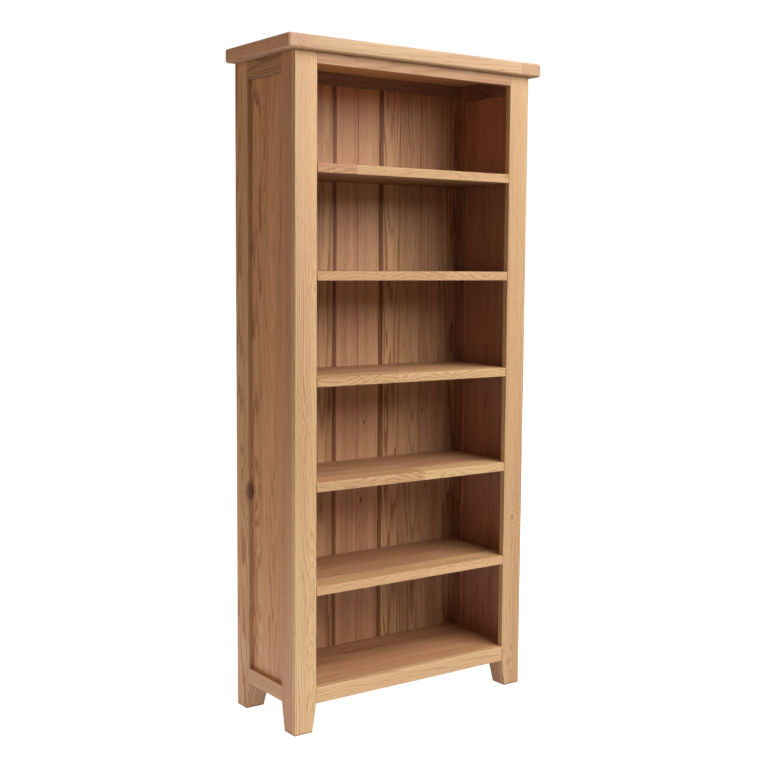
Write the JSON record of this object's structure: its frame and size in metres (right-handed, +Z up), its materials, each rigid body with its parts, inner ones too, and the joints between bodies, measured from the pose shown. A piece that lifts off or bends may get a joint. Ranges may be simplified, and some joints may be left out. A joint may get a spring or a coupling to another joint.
{
  "type": "bookcase",
  "caption": "Tall open oak bookcase with loose shelves on pins, framed sides, boarded back, overhanging top and tapered feet.",
  "frame": {"origin": "on the floor under the middle of the top", "axes": "+Z up, the open front faces -Y, +X to the right seen from the front"},
  "size_m": [0.88, 0.35, 1.9],
  "materials": {
    "oak_top": "satin oiled solid oak, grain along the width and across on the cleats",
    "oak_frame": "satin oiled solid oak, grain along each stile and rail",
    "oak_panel": "satin oiled solid oak panel, upright cathedral grain",
    "oak_back": "satin oiled solid oak boards with darker heartwood streaks",
    "oak_shelf": "satin oiled solid oak staves, grain along the width",
    "beech_dowel": "plain unfinished dowel",
    "steel_pin": "nickel-plated pin",
    "steel_screw": "zinc-plated screw"
  },
  "bodies": {
    "carcass": {"face_stile_left": "oak_frame", "face_stile_right": "oak_frame", "side_front_stile_left": "oak_frame", "side_front_stile_right": "oak_frame", "side_rear_stile_left": "oak_frame", "side_rear_stile_right": "oak_frame", "side_top_rail_left": "oak_frame", "side_top_rail_right": "oak_frame", "side_bottom_rail_left": "oak_frame", "side_bottom_rail_right": "oak_frame", "side_panel_left": "oak_panel", "side_panel_right": "oak_panel", "front_foot_block_left": "oak_frame", "front_foot_block_right": "oak_frame", "rear_foot_block_left": "oak_frame", "rear_foot_block_right": "oak_frame", "shelf_batten_left": "oak_frame", "shelf_batten_right": "oak_frame", "top_cleat_left": "oak_top", "top_cleat_right": "oak_top", "face_top_rail": "oak_frame", "face_bottom_rail": "oak_frame", "bottom_shelf": "oak_shelf", "back_top_rail": "oak_frame", "back_bottom_rail": "oak_frame", "top_panel": "oak_top", "back_board_1": "oak_back", "back_board_2": "oak_back", "back_board_3": "oak_back", "back_board_4": "oak_back", "back_board_5": "oak_back", "back_board_6": "oak_back", "back_board_7": "oak_back", "back_board_8": "oak_back", "back_board_9": "oak_back", "back_board_10": "oak_back", "shelf_pins_1": "steel_pin", "shelf_pins_2": "steel_pin", "shelf_pins_3": "steel_pin", "shelf_pins_4": "steel_pin", "shelf_pins_5": "steel_pin", "face_dowels": "beech_dowel", "top_dowels": "beech_dowel", "top_screws": "steel_screw", "back_screws": "steel_screw", "batten_screws": "steel_screw"},
    "loose_shelf_1": {"shelf_1": "oak_shelf"},
    "loose_shelf_2": {"shelf_2": "oak_shelf"},
    "loose_shelf_3": {"shelf_3": "oak_shelf"},
    "loose_shelf_4": {"shelf_4": "oak_shelf"},
    "loose_shelf_5": {"shelf_5": "oak_shelf"}
  },
  "joints": [
    {"name": "lift_shelf_1", "type": "slide", "parent": "carcass", "child": "loose_shelf_1", "axis": [0, 0, 1], "range_m": [0, 0.25]},
    {"name": "lift_shelf_2", "type": "slide", "parent": "carcass", "child": "loose_shelf_2", "axis": [0, 0, 1], "range_m": [0, 0.25]},
    {"name": "lift_shelf_3", "type": "slide", "parent": "carcass", "child": "loose_shelf_3", "axis": [0, 0, 1], "range_m": [0, 0.25]},
    {"name": "lift_shelf_4", "type": "slide", "parent": "carcass", "child": "loose_shelf_4", "axis": [0, 0, 1], "range_m": [0, 0.25]},
    {"name": "lift_shelf_5", "type": "slide", "parent": "carcass", "child": "loose_shelf_5", "axis": [0, 0, 1], "range_m": [0, 0.25]}
  ]
}
